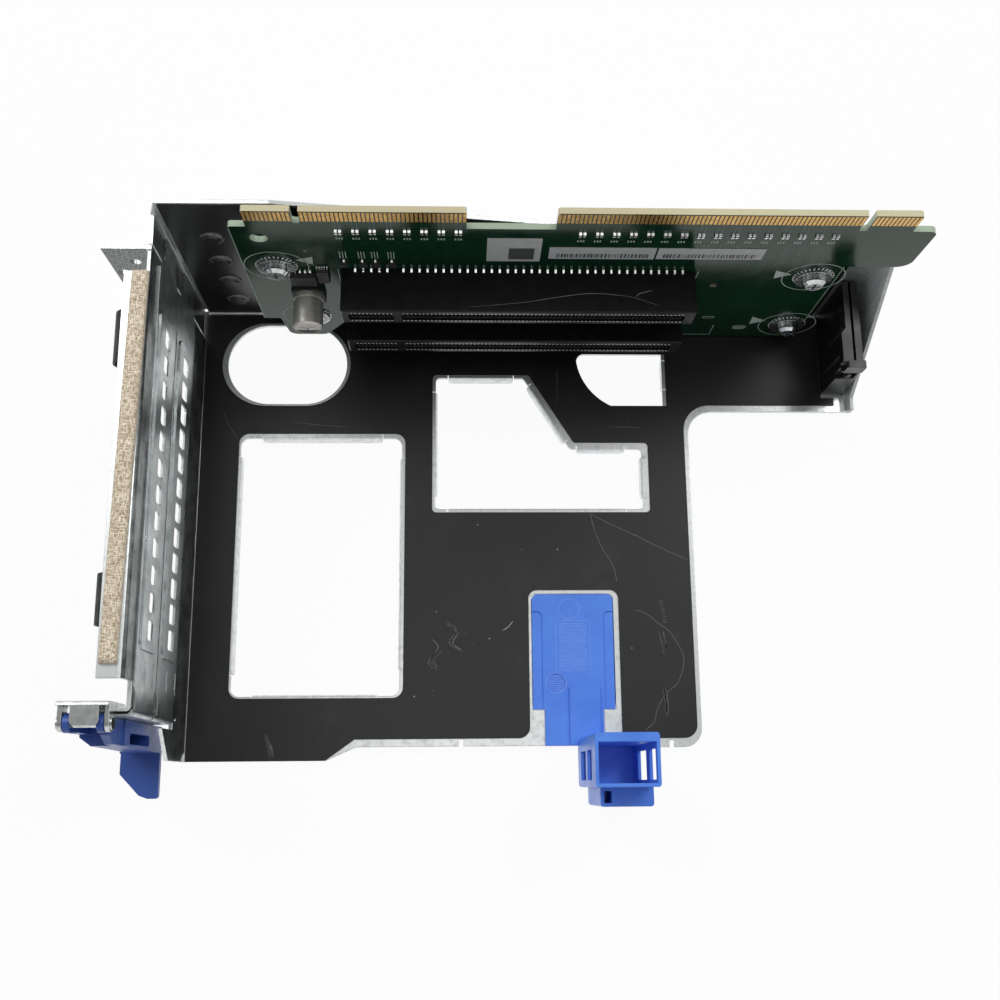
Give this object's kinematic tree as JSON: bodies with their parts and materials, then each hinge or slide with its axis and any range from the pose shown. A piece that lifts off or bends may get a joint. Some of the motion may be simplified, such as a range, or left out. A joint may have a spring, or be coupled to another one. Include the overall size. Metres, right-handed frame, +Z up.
{
  "type": "pcie riser card",
  "caption": "Two-slot riser cage: folded steel floor and walls, an upright riser board with edge tabs and card connectors, perforated slot fillers, a hinged card latch and a blue pull.",
  "frame": {"origin": "middle of the footprint on the ground, under the lowest edges of the cage floor's bent strips and of the pull", "axes": "+X to the right along the card connectors, +Y to the back wall, +Z up towards the board's edge tabs"},
  "size_m": [0.1995, 0.1384, 0.0779],
  "materials": {
    "galvanised_sheet": "galvanised, satin",
    "dark_film": "matte film",
    "filler_steel": "dark satin",
    "gasket_cloth": "conductive cloth",
    "spring_steel": "bright",
    "board_green": "solder mask on glass laminate",
    "contact_gold": "gold plated",
    "connector_black": "moulded, matte",
    "capacitor_shell": "satin can",
    "package_black": "moulded epoxy",
    "chip_ceramic": "fired ceramic",
    "zinc_steel": "zinc plated",
    "guide_black": "moulded, matte",
    "latch_blue": "moulded, satin",
    "handle_blue": "moulded, satin",
    "label_white": "blank adhesive label"
  },
  "bodies": {
    "cage": {"cage_sheet": "galvanised_sheet", "base_film": "dark_film", "back_film": "dark_film", "filler_upper": "filler_steel", "filler_lower": "filler_steel", "emi_gasket": "gasket_cloth", "spring_hooks": "spring_steel", "riser_board": "board_green", "edge_contacts_front": "contact_gold", "edge_contacts_back": "contact_gold", "connector_upper": "connector_black", "connector_lower": "connector_black", "contacts_upper": "contact_gold", "contacts_lower": "contact_gold", "capacitor_base": "package_black", "capacitor_can": "capacitor_shell", "control_chips": "package_black", "chip_capacitors": "chip_ceramic", "transistors": "package_black", "board_screws": "zinc_steel", "screw_washers": "zinc_steel", "standoffs": "zinc_steel", "card_guide": "guide_black", "hinge_bracket": "galvanised_sheet", "hinge_pin": "zinc_steel", "pull_handle": "handle_blue", "board_labels": "label_white"},
    "latch": {"latch_lever": "latch_blue"}
  },
  "joints": [
    {"name": "latch_hinge", "type": "hinge", "parent": "cage", "child": "latch", "pos_m": [-0.09395, -0.05, 0.0587], "axis": [-1, 0, 0], "range_deg": [0, 90]}
  ]
}
